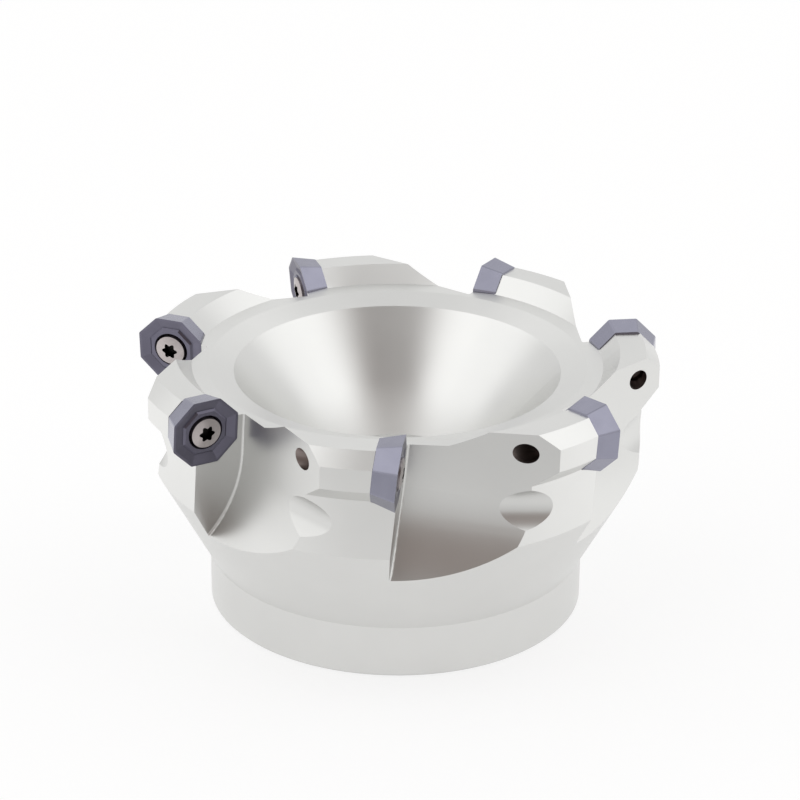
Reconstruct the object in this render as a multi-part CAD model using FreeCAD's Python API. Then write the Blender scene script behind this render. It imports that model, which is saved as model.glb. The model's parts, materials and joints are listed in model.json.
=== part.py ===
import FreeCAD, Part
import math
import os

# Indexable face mill, right-hand cut, standing on its arbor face with the cutting face up.
# Origin: on the cutter axis, in the plane of the arbor face.  +Z runs up towards the inserts.
# All sizes in millimetres, all angles in degrees.

# ---- teeth and inserts ----
TOOTH_COUNT = 7
FIRST_TOOTH_ANGLE = 271.0        # place of the first rake face, from +X towards +Y
CUTTING_DIAMETER = 125.0         # over the outer flats of the inserts
CUTTING_HEIGHT = 64.0            # arbor face to the insert flats that sweep the work
AXIAL_RAKE = 5.4                 # rake face leans forward at its top
RADIAL_RAKE = -8.0               # rake face looks slightly outward

INSERT_SIDES = 8
INSERT_CIRCLE = 15.875           # inscribed circle of the rake face
INSERT_THICKNESS = 5.56
INSERT_CLEARANCE_ANGLE = 15.0    # flank taper towards the seat
INSERT_CORNER_RADIUS = 0.8
CHIP_LAND = 0.55                 # flat land behind the cutting edge
CHIP_GROOVE_WIDTH = 2.0          # sloped floor of the chip groove
CHIP_GROOVE_DEPTH = 0.55
CHIP_RISE_WIDTH = 0.45           # short slope back up to the middle plateau
PLATEAU_DEPTH = 0.15             # plateau below the cutting edge
COUNTERSINK_DIAMETER = 8.5
COUNTERSINK_DEPTH = 3.4

# ---- insert screws (M5) ----
SCREW_THREAD_DIAMETER = 5.0
SCREW_PITCH = 0.8
THREAD_DEPTH = 0.49
SCREW_REACH = 13.6               # rake face to the tip of the screw
SCREW_HEAD_DIAMETER = 7.1
HEAD_RIM_ABOVE_RAKE = 0.25       # shoulder of the head above the rake face
HEAD_DOME_HEIGHT = 0.55
SOCKET_POINTS = 3.86             # six-lobe socket, across the lobes
SOCKET_FLUTES = 2.74             # and across the flutes
SOCKET_DEPTH = 1.9
SOCKET_LOBES = 6
SOCKET_CURVE_POINTS = 8          # points along each lobe of the socket's outline
THREAD_CREST = 0.1               # flat top of each thread ridge
SCREW_TIP_LENGTH = 0.5           # plain end below the last ridge

# ---- fits ----
SEAT_GAP = 0.02                  # insert above the pocket floor
POCKET_CLEARANCE = 0.05          # insert flank to pocket wall
HEAD_CLEARANCE = 0.05            # screw head cone to the insert's countersink
THREAD_CLEARANCE = 0.05          # radial, screw thread to the tapped hole
BORE_CLEARANCE = 0.25            # radial, screw thread to the insert's bore

# ---- cutter body, turned form ----
HUB_DIAMETER = 88.0
HUB_EDGE_CHAMFER = 0.6
HUB_HEIGHT = 12.5                # arbor face to the start of the flare
WALL_SETBACK = 3.8               # wall inside the crown's outer flat
WALL_HEIGHT = 14.01              # straight wall between the flare and the crown
CROWN_SETBACK = 1.9              # crown's outer flat inside the insert's outer flat
FACE_SETBACK = 1.4               # crown's top flat below the insert's top flat
CROWN_FOOT_LIFT = 1.3            # crown's outer flat starts above the insert's lower corner
CROWN_INNER_DROP = 3.8           # height of the crown's inner facet
RING_WIDTH = 9.65                # dished ring inside the crown
RING_STEP_WIDTH = 3.7            # outer, flatter band of the ring
RING_OUTER_SLOPE = 5.0
RING_INNER_SLOPE = 15.0
RECESS_HALF_ANGLE = 42.5

# ---- arbor mounting ----
BORE_DIAMETER = 40.0
BORE_CHAMFER = 0.8
BOLT_HOLE_DIAMETER = 22.0
BOLT_SEAT_DIAMETER = 31.5
BOLT_WEB = 4.7                   # steel between the end of the bore and the bolt's seat
KEYWAY_WIDTH = 16.4
KEYWAY_DEPTH = 9.0
KEYWAY_END_RADIUS = 37.0         # cutter axis to the closed end of each keyway
KEYWAY_COUNT = 2

# ---- milled forms in each tooth ----
GULLET_FLOOR_OFFSET = 9.6        # insert centre in to the flat gullet floor
GULLET_ARC_START = 7.4           # flat floor ends this far below the insert centre
GULLET_ARC_RADIUS = 28.5         # run-out of the gullet floor
GULLET_ARC_SWEEP = 56.0
GULLET_FILLET = 0.6
SCOOP_DIAMETER = 12.0
SCOOP_LENGTH = 30.0
SCOOP_TURN = 19.4                # scoop axis, turned inward from the gullet's direction
SCOOP_STANDOFF = 4.0             # scoop axis outside the edge that it rounds off
SCOOP_DOWN = 8.6                 # scoop axis below the insert centre
TAPPED_LENGTH = 10.0             # tapped part of the screw hole, from the pocket floor
HOLE_BACK_DIAMETER = 4.6         # drilled rest of the screw hole, open at the tooth's back


def tangent(angle):
    """Tangent of an angle in degrees."""
    return math.tan(math.radians(angle))


# ---- worked out from the sizes above ----
STEP = 360.0 / TOOTH_COUNT
APOTHEM = INSERT_CIRCLE / 2
HALF_FLAT = APOTHEM * math.tan(math.pi / INSERT_SIDES)
FLANK_SLOPE = math.tan(math.radians(INSERT_CLEARANCE_ANGLE))
SEAT_RADIUS = CUTTING_DIAMETER / 2 - APOTHEM * math.cos(math.radians(RADIAL_RAKE))
SEAT_HEIGHT = CUTTING_HEIGHT - APOTHEM * math.cos(math.radians(AXIAL_RAKE))
CROWN_RADIUS = CUTTING_DIAMETER / 2 - CROWN_SETBACK
WALL_RADIUS = CROWN_RADIUS - WALL_SETBACK
INSERT_BORE = SCREW_THREAD_DIAMETER + 2 * BORE_CLEARANCE
CROWN_TOP = CUTTING_HEIGHT - FACE_SETBACK
CROWN_SHOULDER = SEAT_HEIGHT + HALF_FLAT
CROWN_FOOT = SEAT_HEIGHT - HALF_FLAT + CROWN_FOOT_LIFT
WALL_TOP = CROWN_FOOT - WALL_SETBACK
WALL_BASE = WALL_TOP - WALL_HEIGHT
CROWN_INNER_RADIUS = SEAT_RADIUS - HALF_FLAT
RING_OUTER_RADIUS = CROWN_INNER_RADIUS - CROWN_INNER_DROP
RING_TOP = CROWN_TOP - CROWN_INNER_DROP
RIM_RADIUS = RING_OUTER_RADIUS - RING_WIDTH
STEP_RADIUS = RING_OUTER_RADIUS - RING_STEP_WIDTH
STEP_HEIGHT = RING_TOP - RING_STEP_WIDTH * tangent(RING_OUTER_SLOPE)
RIM_HEIGHT = STEP_HEIGHT - (STEP_RADIUS - RIM_RADIUS) * tangent(RING_INNER_SLOPE)
BOLT_SEAT_RADIUS = BOLT_SEAT_DIAMETER / 2
BOLT_SEAT_HEIGHT = RIM_HEIGHT - (RIM_RADIUS - BOLT_SEAT_RADIUS) / tangent(RECESS_HALF_ANGLE)
BORE_DEPTH = BOLT_SEAT_HEIGHT - BOLT_WEB
AXIS_TO_RAKE = SEAT_RADIUS * math.sin(math.radians(RADIAL_RAKE))
AXIS_TO_FLOOR = SEAT_RADIUS * math.cos(math.radians(RADIAL_RAKE)) - GULLET_FLOOR_OFFSET
FLOOR_EDGE = AXIS_TO_RAKE + math.sqrt(WALL_RADIUS ** 2 - AXIS_TO_FLOOR ** 2)
COUNTERSINK_SLOPE = (COUNTERSINK_DIAMETER - INSERT_BORE) / 2 / COUNTERSINK_DEPTH
FAR = CUTTING_DIAMETER / 2       # reach of a cutting tool that runs out into the open
LEAD = 1.0                       # a cutting tool starts this far outside the surface


def save(shape, node):
    """Write one sub-part as a STEP file named after its node."""
    shape.exportStep("parts/" + node + ".step")


def face_of(points):
    """Planar face inside a closed outline of straight sides."""
    return Part.Face(Part.makePolygon(points + points[:1]))


def revolve(profile):
    """Solid of revolution about Z from (radius, height) points."""
    points = [FreeCAD.Vector(radius, 0, height) for radius, height in profile]
    origin = FreeCAD.Vector(0, 0, 0)
    return face_of(points).revolve(origin, FreeCAD.Vector(0, 0, 1), 360)


def tooth_placement(index):
    """Frame of one tooth: X outward in the rake face, Y out of the rake face, Z up in it."""
    angle = FIRST_TOOTH_ANGLE + index * STEP
    around_axis = FreeCAD.Rotation(FreeCAD.Vector(0, 0, 1), angle)
    axial = FreeCAD.Rotation(FreeCAD.Vector(1, 0, 0), -AXIAL_RAKE)
    radial = FreeCAD.Rotation(FreeCAD.Vector(0, 0, 1), RADIAL_RAKE)
    centre = around_axis.multVec(FreeCAD.Vector(SEAT_RADIUS, 0, SEAT_HEIGHT))
    return FreeCAD.Placement(centre, around_axis * axial * radial)


def placed(shape, index):
    """Copy of a shape moved from a tooth's own frame into the cutter's frame."""
    copy = shape.copy()
    copy.Placement = tooth_placement(index)
    return copy


def octagon(apothem, depth):
    """Outline of the insert's octagon at a depth behind the rake face."""
    reach = apothem / math.cos(math.pi / INSERT_SIDES)
    points = []
    for corner in range(INSERT_SIDES):
        turn = math.radians((corner + 0.5) * 360.0 / INSERT_SIDES)
        points.append(FreeCAD.Vector(reach * math.cos(turn), -depth, reach * math.sin(turn)))
    return Part.makePolygon(points + points[:1])


def prism(apothem_front, depth_front, apothem_back, depth_back):
    """Tapered octagonal block between two depths."""
    outlines = [octagon(apothem_front, depth_front), octagon(apothem_back, depth_back)]
    return Part.makeLoft(outlines, True, True)


def turned_about_y(profile):
    """Solid of revolution about the insert axis from (radius, height over rake face) points."""
    points = [FreeCAD.Vector(radius, height, 0) for radius, height in profile]
    origin = FreeCAD.Vector(0, 0, 0)
    return face_of(points).revolve(origin, FreeCAD.Vector(0, 1, 0), 360)


def insert_blank():
    """Octagonal insert with tapered flanks and rounded corners."""
    seat_apothem = APOTHEM - INSERT_THICKNESS * FLANK_SLOPE
    blank = prism(APOTHEM, 0.0, seat_apothem, INSERT_THICKNESS)
    corners = []
    for edge in blank.Edges:
        first, last = edge.Vertexes[0].Point, edge.Vertexes[-1].Point
        if abs(first.y - last.y) > INSERT_THICKNESS / 2:
            corners.append(edge)
    return blank.makeFillet(INSERT_CORNER_RADIUS, corners)


def chip_groove():
    """Ring cut out of the rake face: a slope down from the land and a step up to the plateau."""
    outer = APOTHEM - CHIP_LAND
    floor = outer - CHIP_GROOVE_WIDTH
    plateau = floor - CHIP_RISE_WIDTH
    slope = CHIP_GROOVE_DEPTH / CHIP_GROOVE_WIDTH
    bowl = prism(outer + LEAD, -LEAD * slope, floor, CHIP_GROOVE_DEPTH)
    return bowl.cut(prism(plateau, PLATEAU_DEPTH, floor, CHIP_GROOVE_DEPTH))


def insert_hole():
    """Bore through the insert with its countersink."""
    bore = INSERT_BORE / 2
    top = COUNTERSINK_DIAMETER / 2
    return turned_about_y([(0, -INSERT_THICKNESS - LEAD), (bore, -INSERT_THICKNESS - LEAD),
                           (bore, -COUNTERSINK_DEPTH), (top + LEAD * COUNTERSINK_SLOPE, LEAD),
                           (0, LEAD)])


def make_insert():
    """One indexable insert in its tooth's frame."""
    return insert_blank().cut(chip_groove()).cut(insert_hole())


def socket_outline(height):
    """Closed six-lobe curve of the driver socket."""
    mean = (SOCKET_POINTS + SOCKET_FLUTES) / 4
    swing = (SOCKET_POINTS - SOCKET_FLUTES) / 4
    samples = SOCKET_CURVE_POINTS * SOCKET_LOBES
    points = []
    for step in range(samples):
        turn = 2 * math.pi * step / samples
        radius = mean + swing * math.cos(SOCKET_LOBES * turn)
        points.append(FreeCAD.Vector(radius * math.cos(turn), height, radius * math.sin(turn)))
    curve = Part.BSplineCurve()
    curve.interpolate(Points=points, PeriodicFlag=True)
    return Part.Face(Part.Wire(curve.toShape()))


def head_dome():
    """Arc over the screw head, from its middle to its rim."""
    head = SCREW_HEAD_DIAMETER / 2
    half = head / 2
    ball = (head ** 2 + HEAD_DOME_HEIGHT ** 2) / (2 * HEAD_DOME_HEIGHT)
    top = HEAD_RIM_ABOVE_RAKE + HEAD_DOME_HEIGHT
    between = top - ball + math.sqrt(ball ** 2 - half ** 2)
    middle = FreeCAD.Vector(0, top, 0)
    rim = FreeCAD.Vector(head, HEAD_RIM_ABOVE_RAKE, 0)
    return Part.Arc(middle, FreeCAD.Vector(half, between, 0), rim).toShape()


def head_profile():
    """Half section of the screw head, from its rim down the cone to the shank."""
    head = SCREW_HEAD_DIAMETER / 2
    shank = SCREW_THREAD_DIAMETER / 2
    surface = COUNTERSINK_DIAMETER / 2 - HEAD_CLEARANCE / math.cos(math.atan(COUNTERSINK_SLOPE))
    cone_top = -(surface - head) / COUNTERSINK_SLOPE
    cone_end = -(surface - shank) / COUNTERSINK_SLOPE
    return [(head, HEAD_RIM_ABOVE_RAKE), (head, cone_top), (shank, cone_end)]


def thread_profile(start):
    """Ridges of the thread down to the plain tip, then back to the axis."""
    crest = SCREW_THREAD_DIAMETER / 2
    root = crest - THREAD_DEPTH
    flank = (SCREW_PITCH - THREAD_CREST) / 2
    ridges = int((start + SCREW_REACH - SCREW_TIP_LENGTH) / SCREW_PITCH)
    points = [(crest, start), (root, start)]
    for ridge in range(ridges):
        top = start - ridge * SCREW_PITCH
        points.append((crest, top - flank))
        points.append((crest, top - flank - THREAD_CREST))
        points.append((root, top - SCREW_PITCH))
    return points + [(root, -SCREW_REACH), (0, -SCREW_REACH)]


def make_screw():
    """One insert screw in its tooth's frame."""
    top = HEAD_RIM_ABOVE_RAKE + HEAD_DOME_HEIGHT
    thread_start = -INSERT_THICKNESS + SCREW_PITCH
    profile = head_profile() + thread_profile(thread_start) + [(0, top)]
    points = [FreeCAD.Vector(radius, height, 0) for radius, height in profile]
    section = Part.Face(Part.Wire([head_dome()] + Part.makePolygon(points).Edges))
    screw = section.revolve(FreeCAD.Vector(0, 0, 0), FreeCAD.Vector(0, 1, 0), 360)
    socket = socket_outline(top + LEAD).extrude(FreeCAD.Vector(0, -SOCKET_DEPTH - LEAD, 0))
    return screw.cut(socket)


def body_profile():
    """Half section of the turned blank, from the bolt hole out to the hub and up to the face."""
    bore = BORE_DIAMETER / 2
    bolt = BOLT_HOLE_DIAMETER / 2
    hub = HUB_DIAMETER / 2
    shoulder_drop = CROWN_TOP - CROWN_SHOULDER
    return [(bolt, BORE_DEPTH),
            (bore, BORE_DEPTH),
            (bore, BORE_CHAMFER),
            (bore + BORE_CHAMFER, 0),
            (hub - HUB_EDGE_CHAMFER, 0),
            (hub, HUB_EDGE_CHAMFER),
            (hub, HUB_HEIGHT),
            (WALL_RADIUS, WALL_BASE),
            (WALL_RADIUS, WALL_TOP),
            (CROWN_RADIUS, CROWN_FOOT),
            (CROWN_RADIUS, CROWN_SHOULDER),
            (CROWN_RADIUS - shoulder_drop, CROWN_TOP),
            (CROWN_INNER_RADIUS, CROWN_TOP),
            (RING_OUTER_RADIUS, RING_TOP),
            (STEP_RADIUS, STEP_HEIGHT),
            (RIM_RADIUS, RIM_HEIGHT),
            (BOLT_SEAT_RADIUS, BOLT_SEAT_HEIGHT),
            (bolt, BOLT_SEAT_HEIGHT)]


def keyways():
    """Closed-ended drive keyways across the arbor face."""
    slots = []
    depth = KEYWAY_DEPTH + LEAD
    length = KEYWAY_END_RADIUS - KEYWAY_WIDTH / 2
    for index in range(KEYWAY_COUNT):
        slot = Part.makeBox(length, KEYWAY_WIDTH, depth, FreeCAD.Vector(0, -KEYWAY_WIDTH / 2, -LEAD))
        end = FreeCAD.Vector(length, 0, -LEAD)
        slot = slot.fuse(Part.makeCylinder(KEYWAY_WIDTH / 2, depth, end))
        turn = index * 360.0 / KEYWAY_COUNT
        slot.rotate(FreeCAD.Vector(0, 0, 0), FreeCAD.Vector(0, 0, 1), turn)
        slots.append(slot)
    return slots


def gullet():
    """Chip gullet of one tooth: flush with the rake face, flat floor, curved run-out."""
    floor = -GULLET_FLOOR_OFFSET

    def on_arc(share):
        turn = math.radians(GULLET_ARC_SWEEP) * share
        run = GULLET_ARC_RADIUS * (1 - math.cos(turn))
        return FreeCAD.Vector(floor + run, 0, -GULLET_ARC_START - GULLET_ARC_RADIUS * math.sin(turn))

    top = FreeCAD.Vector(floor, 0, FAR)
    end = on_arc(1)
    arc = Part.Arc(on_arc(0), on_arc(0.5), end).toShape()
    sides = [Part.makeLine(top, on_arc(0)), arc]
    outer = [end, FreeCAD.Vector(FAR, 0, end.z), FreeCAD.Vector(FAR, 0, FAR), top]
    for first, last in zip(outer, outer[1:]):
        sides.append(Part.makeLine(first, last))
    tool = Part.Face(Part.Wire(sides)).extrude(FreeCAD.Vector(0, FAR, 0))
    roots = []
    for edge in tool.Edges:
        middle = edge.CenterOfMass
        if middle.y < GULLET_FILLET and middle.x < end.x and middle.z > end.z:
            roots.append(edge)
    return tool.makeFillet(GULLET_FILLET, roots)


def scoop():
    """Round notch milled across the edge between the gullet floor and the wall."""
    turn = math.radians(SCOOP_TURN)
    outward = FreeCAD.Vector(math.cos(turn), math.sin(turn), 0)
    along = FreeCAD.Vector(-math.sin(turn), math.cos(turn), 0)
    edge = FreeCAD.Vector(-GULLET_FLOOR_OFFSET, FLOOR_EDGE, -SCOOP_DOWN)
    start = edge + outward * SCOOP_STANDOFF - along * (SCOOP_LENGTH / 2)
    return Part.makeCylinder(SCOOP_DIAMETER / 2, SCOOP_LENGTH, start, along)


def pocket_outline(depth):
    """Outline of the insert pocket at a depth: two walls and their facet hold the insert."""
    wall = APOTHEM + POCKET_CLEARANCE - depth * FLANK_SLOPE
    half = wall * math.tan(math.pi / INSERT_SIDES)
    corners = [(-wall, FAR), (-wall, -half), (-half, -wall), (FAR, -wall), (FAR, FAR)]
    points = [FreeCAD.Vector(x, -depth, z) for x, z in corners]
    return Part.makePolygon(points + points[:1])


def pocket():
    """Space for the insert, open outward and upward."""
    depth = INSERT_THICKNESS + SEAT_GAP
    return Part.makeLoft([pocket_outline(-LEAD), pocket_outline(depth)], True, True)


def screw_hole():
    """Tapped hole behind the insert, with the drilled hole that goes on to the tooth's back."""
    tapped = SCREW_THREAD_DIAMETER / 2 + THREAD_CLEARANCE
    back = HOLE_BACK_DIAMETER / 2
    end = -INSERT_THICKNESS - TAPPED_LENGTH
    return turned_about_y([(0, 0), (tapped, 0), (tapped, end), (back, end - abs(tapped - back)),
                           (back, -FAR), (0, -FAR)])


def make_body():
    """Cutter body: turned blank with keyways, gullets, scoops, pockets and screw holes."""
    body = revolve(body_profile())
    cuts = keyways()
    tools = [gullet(), scoop(), pocket(), screw_hole()]
    for index in range(TOOTH_COUNT):
        for tool in tools:
            cuts.append(placed(tool, index))
    return body.cut(cuts)


def main():
    """Build every sub-part and write it."""
    os.makedirs("parts", exist_ok=True)
    save(make_body(), "cutter_body")
    insert = make_insert()
    screw = make_screw()
    for index in range(TOOTH_COUNT):
        number = str(index + 1)
        save(placed(insert, index), "insert_" + number)
        save(placed(screw, index), "insert_screw_" + number)


main()
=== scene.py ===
"""Looks of an indexable face mill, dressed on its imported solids.

Everything is in metres in the cutter's own frame: +Z up along its axis, origin on the axis in the
plane of the arbor face. Sizes of the object are given in millimetres, and MM is one of them in metres.
"""

import json
import logging
import math
from dataclasses import dataclass
from enum import Enum

import bpy
from mathutils import Matrix, Vector

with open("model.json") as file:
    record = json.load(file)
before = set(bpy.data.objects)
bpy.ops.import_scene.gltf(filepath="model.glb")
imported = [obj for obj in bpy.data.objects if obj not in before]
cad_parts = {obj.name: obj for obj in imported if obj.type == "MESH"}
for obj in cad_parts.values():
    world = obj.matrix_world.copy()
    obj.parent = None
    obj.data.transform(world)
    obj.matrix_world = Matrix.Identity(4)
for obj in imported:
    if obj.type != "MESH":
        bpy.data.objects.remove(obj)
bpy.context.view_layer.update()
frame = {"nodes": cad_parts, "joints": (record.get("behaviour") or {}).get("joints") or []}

LOG = logging.getLogger("face_mill")
MM = 0.001
QUARTER_TURN = 0.25


class Flow(Enum):
    """Direction in which a tool has left its marks on the steel."""

    TURNED = "rings about the cutter's axis"
    MILLED = "no single direction"


class Zone(Enum):
    """Surfaces of the cutter body, told apart by the way they were cut. Each value is a material slot."""

    OUTSIDE = 0
    RING = 1
    RECESS = 2
    MILLED = 3
    INSIDE = 4
    SCREW_HOLE = 5


def linear(shade: str) -> tuple[float, float, float, float]:
    """Turn an sRGB hex colour to linear RGBA.

    Args:
        shade: six hex digits with a leading number sign.

    Returns:
        Linear red, green, blue and an alpha of 1.
    """
    channels = []
    for start in (1, 3, 5):
        value = int(shade[start:start + 2], 16) / 255
        channels.append(value / 12.92 if value <= 0.04045 else ((value + 0.055) / 1.055) ** 2.4)
    return (*channels, 1.0)


def add_node(tree: bpy.types.NodeTree, kind: str, inputs: dict[str | int, object] | None = None,
             **settings: object) -> bpy.types.Node:
    """Add one node with its settings and links.

    Args:
        tree: node tree that the node joins.
        kind: Blender's name for the node type.
        inputs: for each input, by name or number, a constant or the socket that feeds it.
        **settings: attributes set on the node itself.

    Returns:
        The new node.
    """
    made = tree.nodes.new(kind)
    for key, value in settings.items():
        setattr(made, key, value)
    for key, value in (inputs or {}).items():
        if isinstance(value, bpy.types.NodeSocket):
            tree.links.new(value, made.inputs[key])
        else:
            made.inputs[key].default_value = value
    return made


def new_material(name: str) -> tuple[bpy.types.Material, bpy.types.NodeTree]:
    """Make an empty node material.

    Args:
        name: the material's name.

    Returns:
        The material and its cleared node tree.
    """
    material = bpy.data.materials.new(name)
    material.use_nodes = True
    material.node_tree.nodes.clear()
    return material, material.node_tree


def millimetre_place(tree: bpy.types.NodeTree) -> bpy.types.NodeSocket:
    """Give the point on the piece in millimetres.

    Args:
        tree: node tree of the material.

    Returns:
        Socket with the place in the piece's own frame.
    """
    place = add_node(tree, "ShaderNodeTexCoord").outputs["Object"]
    return add_node(tree, "ShaderNodeVectorMath", {0: place, "Scale": 1 / MM}, operation="SCALE").outputs[0]


def axis_distance(tree: bpy.types.NodeTree, place: bpy.types.NodeSocket) -> bpy.types.NodeSocket:
    """Measure how far a point lies from the cutter's axis.

    Args:
        tree: node tree of the material.
        place: the point on the piece.

    Returns:
        Socket with the distance, in the unit of the place.
    """
    flat = add_node(tree, "ShaderNodeVectorMath", {0: place, 1: (1.0, 1.0, 0.0)}, operation="MULTIPLY")
    return add_node(tree, "ShaderNodeVectorMath", {0: flat.outputs[0]}, operation="LENGTH").outputs["Value"]


def soft_step(tree: bpy.types.NodeTree, value: bpy.types.NodeSocket, span: tuple[float, float],
              levels: tuple[float, float]) -> bpy.types.NodeSocket:
    """Pass smoothly from one level to another as an angle crosses a span.

    Args:
        tree: node tree that holds the step.
        value: the angle in radians.
        span: where the step starts and ends, in degrees.
        levels: value before the step and after it.

    Returns:
        Socket with the level.
    """
    step = add_node(tree, "ShaderNodeMapRange", {
        "Value": value, "From Min": math.radians(span[0]), "From Max": math.radians(span[1]),
        "To Min": levels[0], "To Max": levels[1]}, interpolation_type="SMOOTHSTEP")
    return step.outputs["Result"]


@dataclass(frozen=True)
class CutSteel:
    """Tool steel under a thin satin nickel plate: pale, slightly warm, with the cutting marks still in it.

    The marks are finer than a pixel on the real cutter, so they are drawn as coarse as mark_pitch says.
    Where a lathe bores towards the axis its tool cuts ever slower and leaves the steel duller: the
    roughness grows to dull_roughness between the two dull_radii. All sizes are in mm.
    """

    name: str
    flow: Flow
    light: str = "#DEDEDC"
    dark: str = "#D7D7D5"
    roughness: float = 0.32
    roughness_swing: float = 0.03
    mark_pitch: float = 0.5
    mark_depth: float = 0.002
    cloud_size: float = 14.0
    anisotropy: float = 0.0
    dull_roughness: float | None = None
    dull_radii: tuple[float, float] = (14.0, 26.0)

    def make(self) -> bpy.types.Material:
        """Build the material.

        Returns:
            The node material.
        """
        material, tree = new_material(self.name)
        place = millimetre_place(tree)
        clouds = add_node(tree, "ShaderNodeTexNoise", {"Vector": place, "Scale": 1 / self.cloud_size, "Detail": 3.0})
        colour = add_node(tree, "ShaderNodeMix", {"Factor": clouds.outputs["Fac"], "A": linear(self.dark),
                                                 "B": linear(self.light)}, data_type="RGBA")
        marks = add_node(tree, "ShaderNodeTexNoise", {"Vector": self.mark_place(tree, place),
                                                      "Scale": 1 / self.mark_pitch, "Detail": 2.0})
        bump = add_node(tree, "ShaderNodeBump", {"Height": marks.outputs["Fac"], "Strength": 1.0,
                                                 "Distance": self.mark_depth * MM})
        shader = add_node(tree, "ShaderNodeBsdfPrincipled", {
            "Base Color": colour.outputs["Result"], "Metallic": 1.0,
            "Roughness": self.roughness_level(tree, place, clouds.outputs["Fac"]),
            "Normal": bump.outputs["Normal"], "Anisotropic": self.anisotropy})
        if self.anisotropy:
            # The tangent runs round the axis. Turned by a quarter, the highlight stretches across the rings.
            shader.inputs["Anisotropic Rotation"].default_value = QUARTER_TURN
            ring = add_node(tree, "ShaderNodeTangent", direction_type="RADIAL", axis="Z")
            tree.links.new(ring.outputs["Tangent"], shader.inputs["Tangent"])
        add_node(tree, "ShaderNodeOutputMaterial", {"Surface": shader.outputs["BSDF"]})
        return material

    def roughness_level(self, tree: bpy.types.NodeTree, place: bpy.types.NodeSocket,
                        clouds: bpy.types.NodeSocket) -> bpy.types.NodeSocket:
        """Give the roughness: slightly cloudy, and duller towards the axis where the finish says so.

        Args:
            tree: node tree of the material.
            place: the point on the piece in millimetres.
            clouds: soft noise between 0 and 1.

        Returns:
            Socket with the roughness.
        """
        rough = add_node(tree, "ShaderNodeMapRange", {"Value": clouds,
                                                      "To Min": self.roughness - self.roughness_swing,
                                                      "To Max": self.roughness + self.roughness_swing})
        if self.dull_roughness is not None:
            inner, outer = self.dull_radii
            dull = add_node(tree, "ShaderNodeMapRange", {
                "Value": axis_distance(tree, place), "From Min": inner, "From Max": outer,
                "To Min": self.dull_roughness - self.roughness, "To Max": 0.0}, interpolation_type="SMOOTHSTEP")
            for socket in ("To Min", "To Max"):
                level = rough.inputs[socket].default_value
                edge = add_node(tree, "ShaderNodeMath", {0: dull.outputs["Result"], 1: level}, operation="ADD")
                tree.links.new(edge.outputs[0], rough.inputs[socket])
        return rough.outputs["Result"]

    def mark_place(self, tree: bpy.types.NodeTree, place: bpy.types.NodeSocket) -> bpy.types.NodeSocket:
        """Choose the coordinates that the cutting marks follow.

        Args:
            tree: node tree of the material.
            place: the point on the piece in millimetres.

        Returns:
            Socket with the coordinates for the marks.
        """
        if self.flow is Flow.MILLED:
            return place
        height = add_node(tree, "ShaderNodeSeparateXYZ", {0: place}).outputs["Z"]
        return add_node(tree, "ShaderNodeCombineXYZ", {"X": axis_distance(tree, place), "Z": height}).outputs[0]


@dataclass(frozen=True)
class CoatedCarbide:
    """Sintered carbide under a dark violet-grey hard coating: dull on the pressed face, finer on ground flanks.

    The real grain is a few thousandths of a millimetre, too fine to show, so it is drawn as coarse as grain
    says. All sizes are in mm.
    """

    name: str
    light: str
    dark: str
    roughness: float
    metallic: float
    grain: float = 0.35
    grain_depth: float = 0.004
    cloud_size: float = 4.0

    def make(self) -> bpy.types.Material:
        """Build the material.

        Returns:
            The node material.
        """
        material, tree = new_material(self.name)
        place = millimetre_place(tree)
        grain = add_node(tree, "ShaderNodeTexNoise", {"Vector": place, "Scale": 1 / self.grain, "Detail": 3.0})
        clouds = add_node(tree, "ShaderNodeTexNoise", {"Vector": place, "Scale": 1 / self.cloud_size, "Detail": 2.0})
        colour = add_node(tree, "ShaderNodeMix", {"Factor": clouds.outputs["Fac"], "A": linear(self.dark),
                                                 "B": linear(self.light)}, data_type="RGBA")
        bump = add_node(tree, "ShaderNodeBump", {"Height": grain.outputs["Fac"], "Strength": 1.0,
                                                 "Distance": self.grain_depth * MM})
        shader = add_node(tree, "ShaderNodeBsdfPrincipled", {
            "Base Color": colour.outputs["Result"], "Metallic": self.metallic, "Roughness": self.roughness,
            "Normal": bump.outputs["Normal"]})
        add_node(tree, "ShaderNodeOutputMaterial", {"Surface": shader.outputs["BSDF"]})
        return material


@dataclass(frozen=True)
class ScrewSteel:
    """Hardened screw steel, cold headed: bright on the dome, dark with die oil and painted shadow in the socket.

    The die's fine marks and the driver's wear are drawn as coarse as wear_size says, in mm, to show at all.
    """

    name: str
    light: str
    dark: str
    roughness: float
    wear_size: float = 0.6
    wear_depth: float = 0.003

    def make(self) -> bpy.types.Material:
        """Build the material.

        Returns:
            The node material.
        """
        material, tree = new_material(self.name)
        place = millimetre_place(tree)
        wear = add_node(tree, "ShaderNodeTexNoise", {"Vector": place, "Scale": 1 / self.wear_size, "Detail": 3.0})
        colour = add_node(tree, "ShaderNodeMix", {"Factor": wear.outputs["Fac"], "A": linear(self.dark),
                                                 "B": linear(self.light)}, data_type="RGBA")
        bump = add_node(tree, "ShaderNodeBump", {"Height": wear.outputs["Fac"], "Strength": 1.0,
                                                 "Distance": self.wear_depth * MM})
        shader = add_node(tree, "ShaderNodeBsdfPrincipled", {
            "Base Color": colour.outputs["Result"], "Metallic": 1.0, "Roughness": self.roughness,
            "Normal": bump.outputs["Normal"]})
        add_node(tree, "ShaderNodeOutputMaterial", {"Surface": shader.outputs["BSDF"]})
        return material


def dress(node: bpy.types.Object, materials: list[bpy.types.Material]) -> None:
    """Put materials in the slots of a piece.

    Args:
        node: the piece.
        materials: its materials, in the order of their slots.
    """
    node.data.materials.clear()
    for material in materials:
        node.data.materials.append(material)


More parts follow.
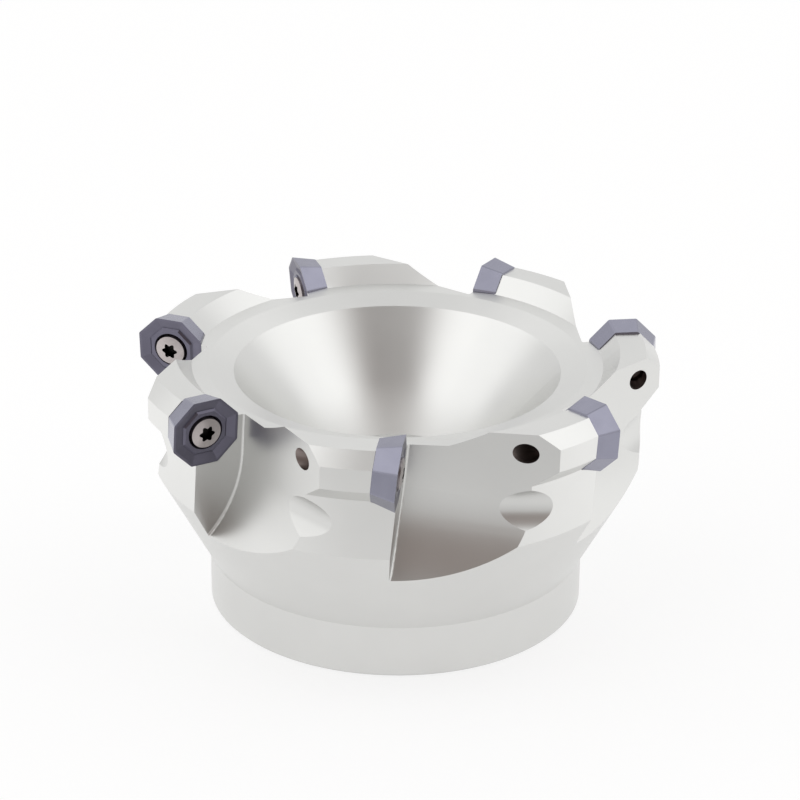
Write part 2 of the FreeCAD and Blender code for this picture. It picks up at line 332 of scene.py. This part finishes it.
@dataclass(frozen=True)
class ScrewHole:
    """One insert screw's hole in the body, on the screw's axis. Sizes in mm."""

    middle: Vector
    axis: Vector
    radius: float = 2.6
    wall_limit: float = -0.5

    def holds(self, centre: Vector, normal: Vector) -> bool:
        """Tell whether a facet is part of the hole's wall.

        Args:
            centre: middle of the facet in mm.
            normal: its direction.

        Returns:
            True where the facet lies within the hole's radius and faces its axis.
        """
        place = centre - self.middle
        aside = place - self.axis * place.dot(self.axis)
        return aside.length < self.radius and normal.dot(aside.normalized()) < self.wall_limit


@dataclass
class CutterBody:
    """The steel body: which surface was turned, which was milled, and the finish of each. Sizes in mm.

    On a turned surface the normal lies in a plane through the axis. A facet whose normal leaves that plane by
    more than twist_limit, as a sine, is milled. The others are told apart by their distance from the axis and
    their height, and the facets of the insert screws' holes by their place in the hole.
    """

    node: str = "cutter_body"
    hub_radius: float = 44.0
    hub_height: float = 12.5
    wall_radius: float = 56.8
    wall_base: float = 36.3
    crown_radius: float = 60.6
    crown_foot: float = 54.11
    crown_shoulder: float = 59.39
    crown_top: float = 62.6
    crown_inner_radius: float = 51.35
    ring_outer_radius: float = 47.55
    ring_outer_height: float = 58.8
    rim_radius: float = 37.9
    rim_height: float = 56.88
    seat_height: float = 32.71
    tolerance: float = 0.15
    twist_limit: float = 0.08

    def outside(self) -> list[tuple[float, float]]:
        """Outline of the turned outside, from the arbor face to the ring's outer edge, as (radius, height)."""
        chamfer = self.crown_top - self.crown_shoulder
        undercut = self.crown_radius - self.wall_radius
        return [(self.hub_radius, 0.0),
                (self.hub_radius, self.hub_height),
                (self.wall_radius, self.wall_base),
                (self.wall_radius, self.crown_foot - undercut),
                (self.crown_radius, self.crown_foot),
                (self.crown_radius, self.crown_shoulder),
                (self.crown_radius - chamfer, self.crown_top),
                (self.crown_inner_radius, self.crown_top),
                (self.ring_outer_radius, self.ring_outer_height)]

    def is_turned_outside(self, radius: float, height: float) -> bool:
        """Tell whether a point lies on the turned outside.

        Args:
            radius: distance from the axis.
            height: height over the arbor face.

        Returns:
            True where the point is on the outline, within the tolerance of a flat facet.
        """
        point = Vector((radius, height))
        corners = [Vector(corner) for corner in self.outside()]
        for first, last in zip(corners, corners[1:]):
            along = last - first
            share = max(0.0, min(1.0, (point - first).dot(along) / along.length_squared))
            if (first + along * share - point).length < self.tolerance:
                return True
        return False

    def zone(self, centre: Vector, normal: Vector) -> Zone:
        """Name the zone of one facet.

        Args:
            centre: middle of the facet in mm.
            normal: its direction.

        Returns:
            The zone whose finish it takes.
        """
        radius = math.hypot(centre.x, centre.y)
        twist = abs(normal.y * centre.x - normal.x * centre.y) / radius
        if twist > self.twist_limit:
            return Zone.MILLED
        if radius < self.rim_radius and centre.z > self.seat_height + self.tolerance:
            return Zone.RECESS
        if radius < self.rim_radius and centre.z < self.rim_height:
            return Zone.INSIDE
        if radius < self.ring_outer_radius and centre.z > self.rim_height - self.tolerance:
            return Zone.RING
        return Zone.OUTSIDE if self.is_turned_outside(radius, centre.z) else Zone.MILLED

    def build(self) -> None:
        """Dress the body zone by zone."""
        finishes = {
            # Even satin grey of a lathe's fine feed, which mirrors the floor as a soft pale band.
            Zone.OUTSIDE: CutSteel("satin_nickel_turned", Flow.TURNED),
            # Faced rings stretch each reflection across the ring.
            Zone.RING: CutSteel("satin_nickel_faced", Flow.TURNED, anisotropy=0.5),
            # The brightest surface: it mirrors the room in clear wedges that blur towards the axis.
            Zone.RECESS: CutSteel("satin_nickel_bored_cone", Flow.TURNED, roughness=0.29, roughness_swing=0.01,
                                  dull_roughness=0.52),
            # A ball cutter's criss-cross marks make the gullets and teeth a little greyer and duller.
            Zone.MILLED: CutSteel("satin_nickel_milled", Flow.MILLED, "#D4D4D2", "#CDCDCB", roughness=0.34,
                                  mark_pitch=0.8),
            # The plate is thinner down the bore, which looks plain and dull.
            Zone.INSIDE: CutSteel("satin_nickel_bore", Flow.TURNED, roughness=0.4),
            # Drilled and tapped after plating: bare oiled steel, its colour darkened further as painted shade, so
            # that it looks nearly black inside the narrow hole.
            Zone.SCREW_HOLE: CutSteel("oiled_hole_steel_painted_shade", Flow.MILLED, "#A09490", "#857A76", roughness=0.45,
                                      mark_pitch=0.4),
        }
        body = frame["nodes"][self.node]
        dress(body, [finishes[zone].make() for zone in Zone])
        holes = [ScrewHole(Vector(joint["pos_m"]) / MM, Vector(joint["axis"])) for joint in frame["joints"]
                 if joint["type"] == "hinge"]
        for facet in body.data.polygons:
            centre = facet.center / MM
            drilled = any(hole.holds(centre, facet.normal) for hole in holes)
            zone = Zone.SCREW_HOLE if drilled else self.zone(centre, facet.normal)
            facet.material_index = zone.value
        LOG.info("%s: %d facets in %d finishes", self.node, len(body.data.polygons), len(finishes))


@dataclass
class Inserts:
    """The octagonal inserts, each with a pressed rake face and ground flanks."""

    prefix: str = "insert_"
    count: int = 7
    rake_limit: float = 0.5

    def build(self) -> None:
        """Dress every insert."""
        # Pressed and sintered face: dull violet-grey, kept darker than the flanks partly as painted shade for the
        # shadow the rake faces lie in. Ground flanks: finer, so they catch the light paler and bluer.
        rake = CoatedCarbide("coated_carbide_pressed_painted_shade", "#716F7E", "#64626F", 0.32, metallic=0.9)
        flank = CoatedCarbide("coated_carbide_ground", "#9898A7", "#8B8B9A", 0.22, metallic=0.9, grain=0.25,
                              grain_depth=0.002)
        materials = [rake.make(), flank.make()]
        axes = {joint["child"]: Vector(joint["axis"]) for joint in frame["joints"] if joint["type"] == "slide"}
        for number in range(1, self.count + 1):
            name = f"{self.prefix}{number}"
            insert = frame["nodes"][name]
            dress(insert, materials)
            for facet in insert.data.polygons:
                facet.material_index = 0 if facet.normal.dot(axes[name]) > self.rake_limit else 1
            LOG.info("%s: rake face and flanks", name)


@dataclass
class InsertScrews:
    """The screws that hold the inserts. Sizes in mm."""

    prefix: str = "insert_screw_"
    count: int = 7
    socket_radius: float = 1.98
    socket_depth: float = 1.9
    head_rise: float = 0.8
    floor_slack: float = 0.05
    wall_limit: float = 0.5

    def build(self) -> None:
        """Dress every screw, its socket apart."""
        # The headed dome is bright but hazy and slightly warm. The socket is painted near-black, for its die oil and
        # as painted shadow for its depth.
        bright = ScrewSteel("bright_screw_steel", "#BDB6B5", "#A9A2A1", 0.3)
        socket = ScrewSteel("oiled_socket_painted_shadow", "#2E2C2B", "#1D1B1B", 0.5)
        materials = [bright.make(), socket.make()]
        turns = {joint["child"]: joint for joint in frame["joints"] if joint["type"] == "hinge"}
        for number in range(1, self.count + 1):
            screw = frame["nodes"][f"{self.prefix}{number}"]
            joint = turns[f"screw_{number}"]
            axis, middle = Vector(joint["axis"]), Vector(joint["pos_m"])
            dress(screw, materials)
            for facet in screw.data.polygons:
                facet.material_index = int(self.in_socket((facet.center - middle) / MM, facet.normal, axis))
            LOG.info("%s%d: head and socket", self.prefix, number)

    def in_socket(self, place: Vector, normal: Vector, axis: Vector) -> bool:
        """Tell whether a facet belongs to the driver socket.

        Args:
            place: middle of the facet in mm, from the middle of the rake face.
            normal: the facet's direction.
            axis: the screw's axis, out of the head.

        Returns:
            True for the socket's walls and floor.
        """
        height = place.dot(axis)
        radius = (place - axis * height).length
        floor = self.head_rise - self.socket_depth
        inside = radius < self.socket_radius and height > floor - self.floor_slack
        return inside and (normal.dot(axis) < self.wall_limit or height < floor + self.floor_slack)


@dataclass(frozen=True)
class SkyPatch:
    """Soft-edged patch of the room round the part, in degrees. A pair says where an edge starts and ends."""

    azimuth: float
    half_width: tuple[float, float]
    foot: tuple[float, float]
    top: tuple[float, float]

    def cover(self, tree: bpy.types.NodeTree, way: bpy.types.NodeSocket) -> bpy.types.NodeSocket:
        """Mark the directions that lie in the patch.

        Args:
            tree: node tree of the world.
            way: direction from the part.

        Returns:
            Socket that is 1 in the patch and 0 outside it.
        """
        turned = add_node(tree, "ShaderNodeVectorRotate", {"Vector": way, "Angle": -math.radians(self.azimuth)},
                          rotation_type="Z_AXIS")
        parts = add_node(tree, "ShaderNodeSeparateXYZ", {0: turned.outputs[0]}).outputs
        turn = add_node(tree, "ShaderNodeMath", {0: parts["Y"], 1: parts["X"]}, operation="ARCTAN2")
        aside = add_node(tree, "ShaderNodeMath", {0: turn.outputs[0]}, operation="ABSOLUTE").outputs[0]
        lift = add_node(tree, "ShaderNodeMath", {0: parts["Z"]}, operation="ARCSINE").outputs[0]
        sides = soft_step(tree, aside, self.half_width, (1.0, 0.0))
        foot = soft_step(tree, lift, self.foot, (0.0, 1.0))
        top = soft_step(tree, lift, self.top, (1.0, 0.0))
        height = add_node(tree, "ShaderNodeMath", {0: foot, 1: top}, operation="MULTIPLY").outputs[0]
        return add_node(tree, "ShaderNodeMath", {0: sides, 1: height}, operation="MULTIPLY").outputs[0]


@dataclass
class Studio:
    """Pale floor, plain soft light and the camera. Lengths in metres, angles in degrees.

    The room is what the steel mirrors: a sky that brightens over the elevations of sky_rise, a soft box on each
    side, a dimmer gap behind, and over the camera a hood that turns from its pale shade to its dark one over the
    elevations of hood_change. As metal mirrors it, the floor carries painted light: it gains up to floor_side_gain
    at the sides, over the distances from the axis in floor_side, standing in for the soft boxes' light. It also
    carries
    painted shade: it dims to floor_front_glow in front, between the places along Y in floor_front, standing in for
    the hood's shadow.
    """

    camera_aim: tuple[float, float, float] = (0.00068, 0.0, 0.0488)
    camera_distance: float = 0.6631
    camera_azimuth: float = -90.0
    camera_elevation: float = 24.264
    camera_roll: float = 0.560
    lens: float = 128.04
    floor_size: float = 12.0
    floor_drop: float = 0.0003
    floor_glow: float = 0.75
    floor_side_gain: float = 0.2
    floor_side: tuple[float, float] = (0.055, 0.14)
    floor_front_glow: float = 0.55
    floor_front: tuple[float, float] = (-0.19, -0.07)
    floor_shade: str = "#989898"
    ambient: float = 0.8
    sky_rise: tuple[float, float] = (22.0, 52.0)
    sky_level: tuple[float, float] = (0.9, 1.3)
    soft_boxes: tuple[SkyPatch, ...] = (SkyPatch(191.0, (30.0, 50.0), (-12.0, 2.0), (88.0, 90.0)),
                                        SkyPatch(358.0, (23.0, 43.0), (-12.0, 2.0), (88.0, 90.0)))
    soft_box_level: float = 1.3
    back_gap: SkyPatch = SkyPatch(90.0, (30.0, 60.0), (40.0, 56.0), (88.0, 90.0))
    back_gap_level: float = 0.75
    hood: SkyPatch = SkyPatch(279.0, (24.0, 65.0), (-4.0, 8.0), (64.0, 68.0))
    hood_shades: tuple[str, str] = ("#9E938E", "#3E3734")
    hood_change: tuple[float, float] = (54.0, 61.0)
    lamp_distance: float = 1.2
    lamp_size: float = 0.5
    lamp_power: float = 0.1
    lamp_places: tuple[tuple[float, float], ...] = ((206.0, 57.0), (350.0, 50.0))

    def direction(self, azimuth: float, elevation: float) -> Vector:
        """Unit vector from the part towards a place round it.

        Args:
            azimuth: degrees from +X towards +Y.
            elevation: degrees above the horizon.

        Returns:
            The direction.
        """
        turn, lift = math.radians(azimuth), math.radians(elevation)
        return Vector((math.cos(turn) * math.cos(lift), math.sin(turn) * math.cos(lift), math.sin(lift)))

    def build_camera(self) -> None:
        """Set the camera at the photograph's angle: it looks along +Y and down."""
        data = bpy.data.cameras.new("camera")
        data.lens = self.lens
        camera = bpy.data.objects.new("camera", data)
        away = self.direction(self.camera_azimuth, self.camera_elevation)
        place = Vector(self.camera_aim) + away * self.camera_distance
        tilt = Matrix.Rotation(math.radians(90 - self.camera_elevation), 4, "X")
        roll = Matrix.Rotation(math.radians(self.camera_roll), 4, "Z")
        camera.matrix_world = Matrix.Translation(place) @ tilt @ roll
        bpy.context.scene.collection.objects.link(camera)
        bpy.context.scene.camera = camera

    def build_world(self) -> None:
        """Light the part from all round: soft boxes at its sides, a gap behind it, a dark hood over the camera."""
        world = bpy.data.worlds.new("studio")
        bpy.context.scene.world = world
        world.use_nodes = True
        tree = world.node_tree
        tree.nodes.clear()
        rays = add_node(tree, "ShaderNodeLightPath").outputs
        way = add_node(tree, "ShaderNodeTexCoord").outputs["Generated"]
        height = add_node(tree, "ShaderNodeSeparateXYZ", {0: way}).outputs["Z"]
        lift = add_node(tree, "ShaderNodeMath", {0: height}, operation="ARCSINE").outputs[0]
        bright = soft_step(tree, lift, self.sky_rise, self.sky_level)
        patches = [(box, self.soft_box_level) for box in self.soft_boxes] + [(self.back_gap, self.back_gap_level)]
        for patch, level in patches:
            bright = add_node(tree, "ShaderNodeMix", {"Factor": patch.cover(tree, way), "A": bright, "B": level},
                              data_type="FLOAT").outputs["Result"]
        low, high = (linear(shade) for shade in self.hood_shades)
        cloth = add_node(tree, "ShaderNodeMix", {"Factor": soft_step(tree, lift, self.hood_change, (0.0, 1.0)),
                                                "A": low, "B": high}, data_type="RGBA").outputs["Result"]
        sky = add_node(tree, "ShaderNodeMix", {"Factor": self.hood.cover(tree, way), "A": bright, "B": cloth},
                       data_type="RGBA")
        seen = add_node(tree, "ShaderNodeMix", {"Factor": rays["Is Camera Ray"], "A": sky.outputs["Result"],
                                               "B": linear("#FFFFFF")}, data_type="RGBA")
        shown = self.shown_rays(tree, rays)
        level = add_node(tree, "ShaderNodeMapRange", {"Value": shown, "To Min": self.ambient, "To Max": 1.0})
        light = add_node(tree, "ShaderNodeBackground", {"Color": seen.outputs["Result"],
                                                        "Strength": level.outputs["Result"]})
        add_node(tree, "ShaderNodeOutputWorld", {"Surface": light.outputs[0]})

    def shown_rays(self, tree: bpy.types.NodeTree, rays: bpy.types.bpy_prop_collection) -> bpy.types.NodeSocket:
        """Mark the rays that show the background: the camera's and those by way of gloss or glass.

        Args:
            tree: node tree of the world or a material.
            rays: outputs of its Light Path node.

        Returns:
            Socket that is 1 for such rays and 0 for the others.
        """
        gloss = add_node(tree, "ShaderNodeMath", {0: rays["Is Glossy Ray"], 1: rays["Is Transmission Ray"]},
                         operation="MAXIMUM")
        return add_node(tree, "ShaderNodeMath", {0: rays["Is Camera Ray"], 1: gloss.outputs[0]},
                        operation="MAXIMUM").outputs[0]

    def floor_level(self, tree: bpy.types.NodeTree, rays: bpy.types.bpy_prop_collection) -> bpy.types.NodeSocket:
        """Give the floor's glow, even as it is seen and uneven as metal mirrors it.

        The mirrored floor is brighter at the sides than in front: painted light stands in for the soft boxes' light
        at the sides, and painted shade for the hood's shadow in front.

        Args:
            tree: node tree of the floor's material.
            rays: outputs of its Light Path node.

        Returns:
            Socket with the glow.
        """
        place = add_node(tree, "ShaderNodeTexCoord").outputs["Object"]
        way = add_node(tree, "ShaderNodeVectorMath", {0: place}, operation="NORMALIZE").outputs[0]
        aside = add_node(tree, "ShaderNodeSeparateXYZ", {0: way}).outputs["X"]
        side = add_node(tree, "ShaderNodeMath", {0: aside, 1: aside}, operation="MULTIPLY").outputs[0]
        # Painted light on the floor at the sides, standing in for the soft boxes.
        gain = add_node(tree, "ShaderNodeMapRange", {
            "Value": axis_distance(tree, place), "From Min": self.floor_side[0], "From Max": self.floor_side[1],
            "To Min": 0.0, "To Max": self.floor_side_gain}, interpolation_type="SMOOTHSTEP").outputs["Result"]
        # Painted shade on the floor in front of the part, standing in for the hood's shadow.
        front = add_node(tree, "ShaderNodeMapRange", {
            "Value": add_node(tree, "ShaderNodeSeparateXYZ", {0: place}).outputs["Y"],
            "From Min": self.floor_front[0], "From Max": self.floor_front[1],
            "To Min": self.floor_front_glow, "To Max": self.floor_glow}, interpolation_type="SMOOTHSTEP")
        mirrored = add_node(tree, "ShaderNodeMath", {0: side, 1: gain, 2: front.outputs["Result"]},
                            operation="MULTIPLY_ADD").outputs[0]
        return add_node(tree, "ShaderNodeMix", {"Factor": rays["Is Camera Ray"], "A": mirrored,
                                               "B": self.floor_glow}, data_type="FLOAT").outputs["Result"]

    def build_floor(self) -> None:
        """Lay the pale floor, which glows to white where no shadow falls."""
        half = self.floor_size / 2
        mesh = bpy.data.meshes.new("floor")
        corners = [(-half, -half, 0), (half, -half, 0), (half, half, 0), (-half, half, 0)]
        mesh.from_pydata(corners, [], [(0, 1, 2, 3)])
        floor = bpy.data.objects.new("floor", mesh)
        floor.location.z = -self.floor_drop
        bpy.context.scene.collection.objects.link(floor)
        material, tree = new_material("white_floor")
        rays = add_node(tree, "ShaderNodeLightPath").outputs
        glow = add_node(tree, "ShaderNodeMath", {0: self.shown_rays(tree, rays), 1: self.floor_level(tree, rays)},
                        operation="MULTIPLY")
        shader = add_node(tree, "ShaderNodeBsdfPrincipled", {
            "Base Color": linear(self.floor_shade), "Roughness": 1.0, "Specular IOR Level": 0.0,
            "Emission Color": linear("#FFFFFF"), "Emission Strength": glow.outputs[0]})
        add_node(tree, "ShaderNodeOutputMaterial", {"Surface": shader.outputs["BSDF"]})
        mesh.materials.append(material)

    def build_lamps(self) -> None:
        """Hang one soft lamp on each side."""
        for number, (azimuth, elevation) in enumerate(self.lamp_places, 1):
            data = bpy.data.lights.new(f"soft_lamp_{number}", "AREA")
            data.size = self.lamp_size
            data.energy = self.lamp_power
            lamp = bpy.data.objects.new(data.name, data)
            away = self.direction(azimuth, elevation)
            lamp.location = Vector(self.camera_aim) + away * self.lamp_distance
            lamp.rotation_mode = "QUATERNION"
            lamp.rotation_quaternion = away.to_track_quat("Z", "Y")
            bpy.context.scene.collection.objects.link(lamp)

    def build(self) -> None:
        """Set up the whole studio."""
        bpy.context.scene.view_settings.view_transform = "Standard"
        self.build_camera()
        self.build_world()
        self.build_floor()
        self.build_lamps()
        LOG.info("studio: camera, world, floor and %d lamps", len(self.lamp_places))


def main() -> None:
    """Build the studio and dress every piece."""
    logging.basicConfig(level=logging.INFO, format="%(name)s: %(message)s")
    Studio().build()
    for part in (CutterBody(), Inserts(), InsertScrews()):
        part.build()


if __name__ == "__main__":
    main()
